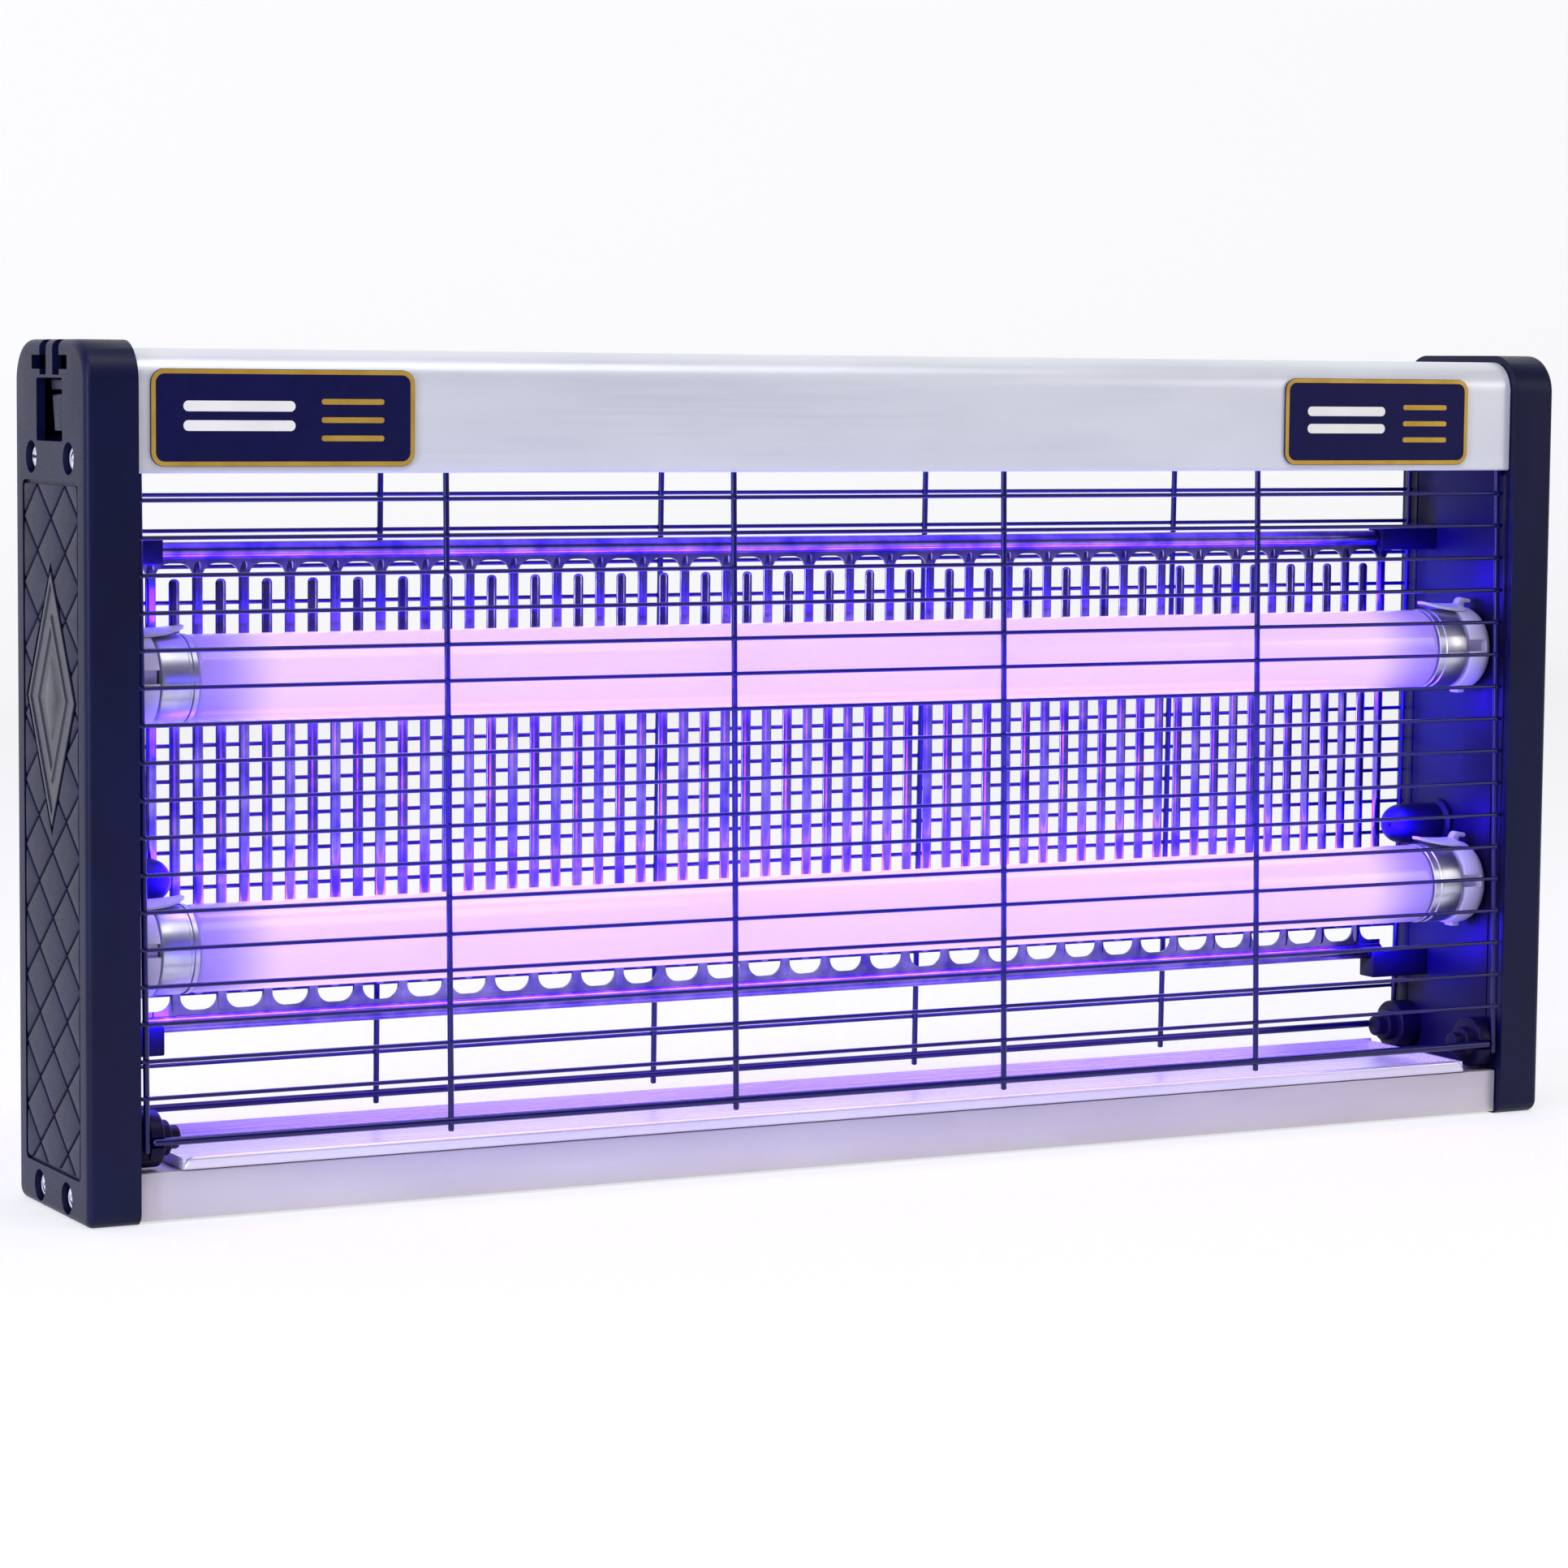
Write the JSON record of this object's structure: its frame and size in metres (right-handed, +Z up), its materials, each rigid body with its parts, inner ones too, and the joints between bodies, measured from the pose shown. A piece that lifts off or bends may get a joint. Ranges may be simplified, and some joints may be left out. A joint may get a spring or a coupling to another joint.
{
  "type": "electric bug zapper",
  "caption": "Wide, shallow electric insect killer with glowing tube lamps, a high-voltage comb grid, hinged wire guards, a slide-out tray and black moulded end housings.",
  "frame": {"origin": "middle of the footprint, on the surface the appliance stands on", "axes": "+X along the width towards the right-hand end seen from the front, +Y to the back, +Z up"},
  "size_m": [0.504, 0.062, 0.25],
  "materials": {
    "black_plastic": "fine moulded grain",
    "inner_plastic": "smooth moulded",
    "badge_plastic": "semi-gloss",
    "screw_steel": "zinc plated",
    "cap_metal": "satin",
    "white_plastic": "satin moulded",
    "lamp_glass": "phosphor coated glass",
    "top_sheet": "satin",
    "chassis_sheet": "mill",
    "base_sheet": "satin",
    "tray_sheet": "bright",
    "label": "printed film",
    "guard_wire": "powder coated",
    "grid_metal": "polished",
    "core_steel": "laminated steel",
    "coil_copper": "enamelled winding",
    "ballast_case": "satin",
    "board": "solder mask",
    "capacitor": "sleeve"
  },
  "bodies": {
    "chassis": {"end_housing_left": "black_plastic", "inner_cover_left": "inner_plastic", "badge_left": "badge_plastic", "latch_tongue_left": "inner_plastic", "screw_left_upper_rear": "screw_steel", "screw_left_upper_front": "screw_steel", "screw_left_lower_rear": "screw_steel", "screw_left_lower_front": "screw_steel", "clip_left_front": "black_plastic", "clip_left_rear": "black_plastic", "grid_socket_left": "inner_plastic", "grid_cradle_left": "inner_plastic", "feed_insulator_left": "inner_plastic", "lampholder_upper_left": "white_plastic", "lampholder_lower_left": "white_plastic", "end_housing_right": "black_plastic", "inner_cover_right": "inner_plastic", "badge_right": "badge_plastic", "latch_tongue_right": "inner_plastic", "screw_right_upper_rear": "screw_steel", "screw_right_upper_front": "screw_steel", "screw_right_lower_rear": "screw_steel", "screw_right_lower_front": "screw_steel", "clip_right_front": "black_plastic", "clip_right_rear": "black_plastic", "grid_socket_right": "inner_plastic", "grid_cradle_right": "inner_plastic", "feed_insulator_right": "inner_plastic", "lampholder_upper_right": "white_plastic", "lampholder_lower_right": "white_plastic", "top_panel": "top_sheet", "chassis_plate": "chassis_sheet", "base_panel": "base_sheet", "label_left": "label", "label_right": "label", "grid_comb_upper": "grid_metal", "grid_comb_lower": "grid_metal", "transformer_core": "core_steel", "transformer_coil": "coil_copper", "ballast": "ballast_case", "circuit_board": "board", "grid_capacitor": "capacitor", "terminal_block": "white_plastic", "cable_gland": "inner_plastic"},
    "front_guard": {"front_guard": "guard_wire"},
    "rear_guard": {"rear_guard": "guard_wire"},
    "tray": {"insect_tray": "tray_sheet"},
    "upper_lamp": {"lamp_cap_upper_left": "cap_metal", "lamp_rotor_upper_left": "white_plastic", "lamp_cap_upper_right": "cap_metal", "lamp_rotor_upper_right": "white_plastic", "lamp_glass_upper": "lamp_glass"},
    "lower_lamp": {"lamp_cap_lower_left": "cap_metal", "lamp_rotor_lower_left": "white_plastic", "lamp_cap_lower_right": "cap_metal", "lamp_rotor_lower_right": "white_plastic", "lamp_glass_lower": "lamp_glass"}
  },
  "joints": [
    {"name": "front_guard_hinge", "type": "hinge", "parent": "chassis", "child": "front_guard", "pos_m": [0, -0.0245, 0.2121], "axis": [-1, 0, 0], "range_deg": [0, 60]},
    {"name": "rear_guard_hinge", "type": "hinge", "parent": "chassis", "child": "rear_guard", "pos_m": [0, 0.0245, 0.2121], "axis": [1, 0, 0], "range_deg": [0, 60]},
    {"name": "tray_slide", "type": "slide", "parent": "chassis", "child": "tray", "axis": [0, -1, 0], "range_m": [0, 0.045]},
    {"name": "upper_lamp_twist", "type": "hinge", "parent": "chassis", "child": "upper_lamp", "pos_m": [0, -0.009, 0.1536], "axis": [1, 0, 0], "range_deg": [0, 90]},
    {"name": "lower_lamp_twist", "type": "hinge", "parent": "chassis", "child": "lower_lamp", "pos_m": [0, -0.009, 0.0757], "axis": [1, 0, 0], "range_deg": [0, 90]}
  ]
}
